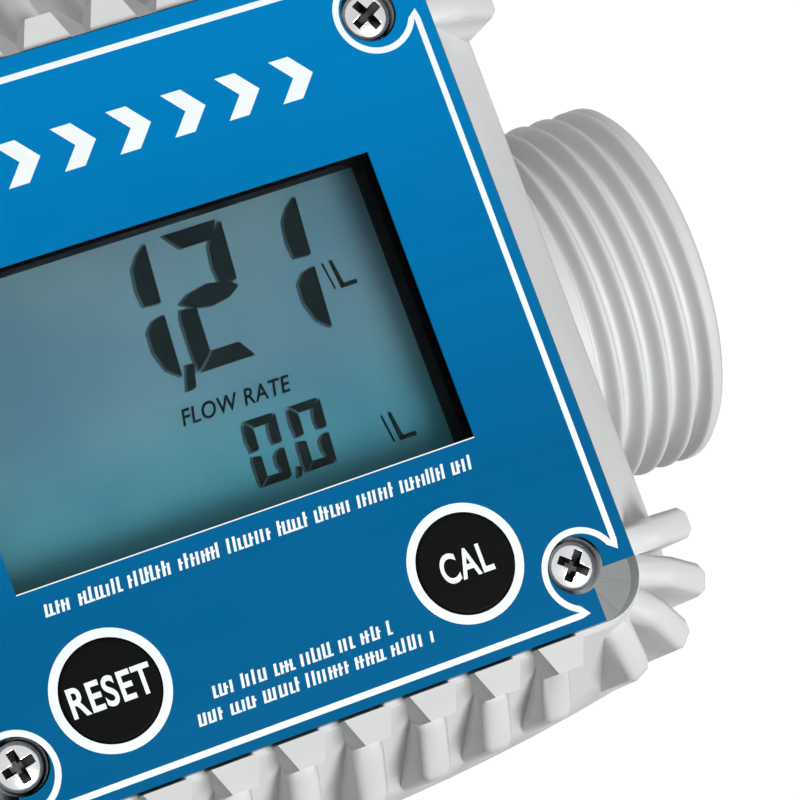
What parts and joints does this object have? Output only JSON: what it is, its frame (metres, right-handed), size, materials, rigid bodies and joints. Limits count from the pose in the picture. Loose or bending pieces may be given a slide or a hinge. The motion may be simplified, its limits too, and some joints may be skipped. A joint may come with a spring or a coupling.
{
  "type": "turbine flow meter",
  "caption": "In-line turbine flow meter: ribbed barrel body with a square display face, push buttons and male threaded ports on one flow axis.",
  "frame": {"origin": "centre of the flat back, under the middle of the meter", "axes": "+X along the flow axis towards the outlet, +Y towards the top edge of the display, +Z out of the display"},
  "size_m": [0.104, 0.0724, 0.0581],
  "materials": {
    "shell_plastic": "fine moulded satin",
    "clear_plastic": "polished clear sheet",
    "label_film": "printed satin film",
    "seal_rubber": "matt",
    "screw_steel": "bright zinc plate",
    "black_plastic": "satin",
    "lcd_glass": "polished",
    "board_green": "solder mask",
    "cream_plastic": "satin",
    "cell_jacket": "gloss jacket",
    "contact_metal": "nickel plate",
    "sensor_glass": "drawn glass",
    "rotor_plastic": "moulded",
    "magnet_metal": "ground",
    "shaft_steel": "ground",
    "guide_plastic": "moulded",
    "bearing_brass": "turned"
  },
  "bodies": {
    "housing": {"meter_body": "shell_plastic", "front_cover": "clear_plastic", "face_label": "label_film", "cover_gasket": "seal_rubber", "cover_screws": "screw_steel", "lcd_frame": "black_plastic", "lcd_glass": "lcd_glass", "lcd_connectors": "seal_rubber", "circuit_board": "board_green", "board_screws": "screw_steel", "display_driver": "black_plastic", "reset_switch": "black_plastic", "cal_switch": "black_plastic", "cell_tray": "black_plastic", "power_cells": "cell_jacket", "positive_contacts": "contact_metal", "negative_springs": "contact_metal", "reed_sensor": "sensor_glass", "outlet_flow_guide": "guide_plastic", "outlet_bearing": "bearing_brass", "outlet_retaining_ring": "shaft_steel", "inlet_flow_guide": "guide_plastic", "inlet_bearing": "bearing_brass", "inlet_retaining_ring": "shaft_steel"},
    "rotor": {"turbine_rotor": "rotor_plastic", "rotor_magnets": "magnet_metal", "rotor_shaft": "shaft_steel"},
    "reset_key": {"reset_button": "black_plastic", "reset_plunger": "cream_plastic"},
    "cal_key": {"cal_button": "black_plastic", "cal_plunger": "cream_plastic"}
  },
  "joints": [
    {"name": "rotor_spin", "type": "hinge", "parent": "housing", "child": "rotor", "pos_m": [0, 0, 0.02], "axis": [1, 0, 0], "continuous": true},
    {"name": "reset_press", "type": "slide", "parent": "housing", "child": "reset_key", "axis": [0, 0, -1], "range_m": [0, 0.0006], "stiffness_N_per_m": 1800, "springref_m": -0.0003},
    {"name": "cal_press", "type": "slide", "parent": "housing", "child": "cal_key", "axis": [0, 0, -1], "range_m": [0, 0.0006], "stiffness_N_per_m": 1800, "springref_m": -0.0003}
  ]
}
